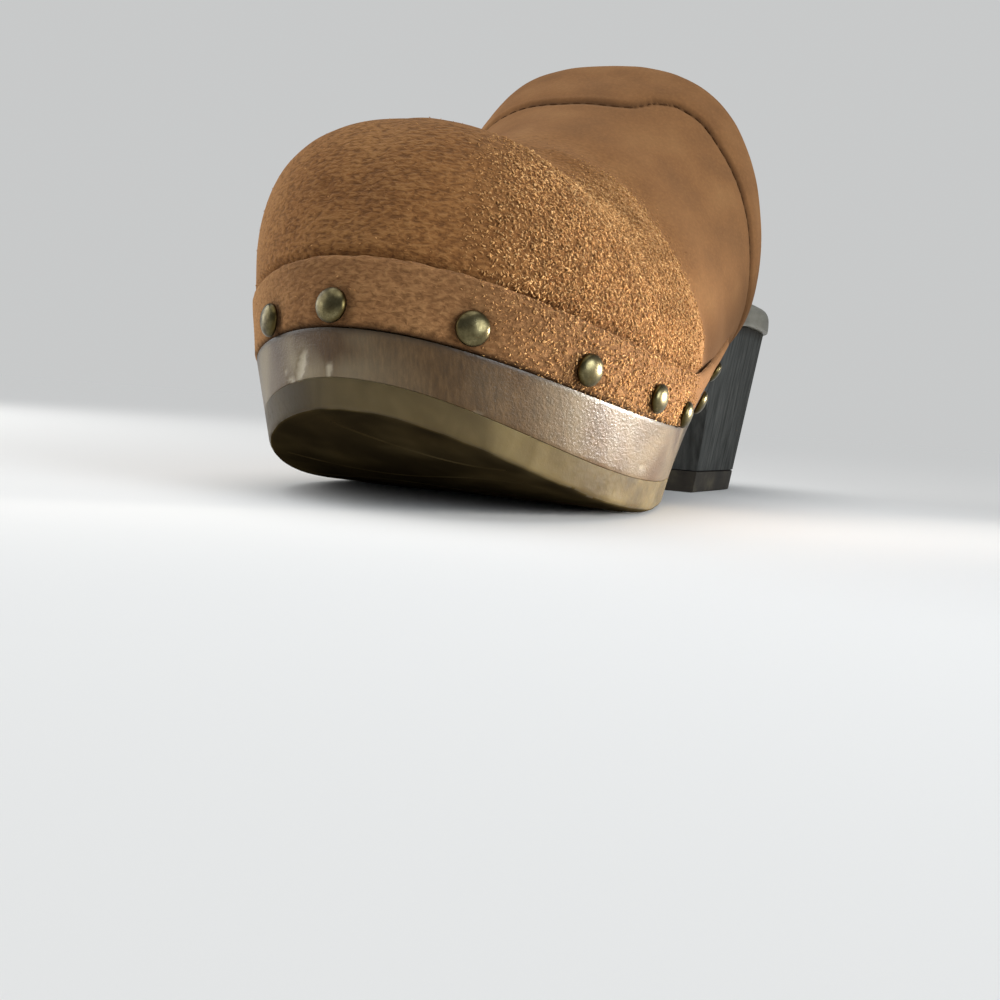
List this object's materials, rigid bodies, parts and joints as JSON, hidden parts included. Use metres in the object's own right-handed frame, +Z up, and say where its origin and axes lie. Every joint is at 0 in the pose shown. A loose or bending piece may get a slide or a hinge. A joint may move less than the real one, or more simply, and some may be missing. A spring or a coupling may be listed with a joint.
{
  "type": "heeled clog",
  "caption": "Right-foot heeled clog with a carved wooden sole, arch and block heel, rubber tread, and an open-backed suede vamp held round its edge by a nailed band.",
  "frame": {"origin": "centre of the overall box's footprint, on the floor the clog stands on", "axes": "toe towards -Y, heel towards +Y, +X to the medial side, +Z up"},
  "size_m": [0.1012, 0.2464, 0.1256],
  "materials": {
    "grey_washed_wood": "grey wash under satin varnish",
    "pale_wood": "pale wash, satin",
    "gum_rubber": "translucent gum, scuffed",
    "heel_rubber": "matt",
    "tan_suede": "rough nap",
    "band_suede": "rough nap, raw upper edge",
    "aged_brass": "aged, satin"
  },
  "bodies": {
    "root": {"wooden_sole": "grey_washed_wood", "footbed": "pale_wood", "outsole": "gum_rubber", "heel_lift": "heel_rubber", "vamp": "tan_suede", "nail_band": "band_suede", "nail_01": "aged_brass", "nail_02": "aged_brass", "nail_03": "aged_brass", "nail_04": "aged_brass", "nail_05": "aged_brass", "nail_06": "aged_brass", "nail_07": "aged_brass", "nail_08": "aged_brass", "nail_09": "aged_brass", "nail_10": "aged_brass", "nail_11": "aged_brass", "nail_12": "aged_brass"}
  },
  "joints": []
}
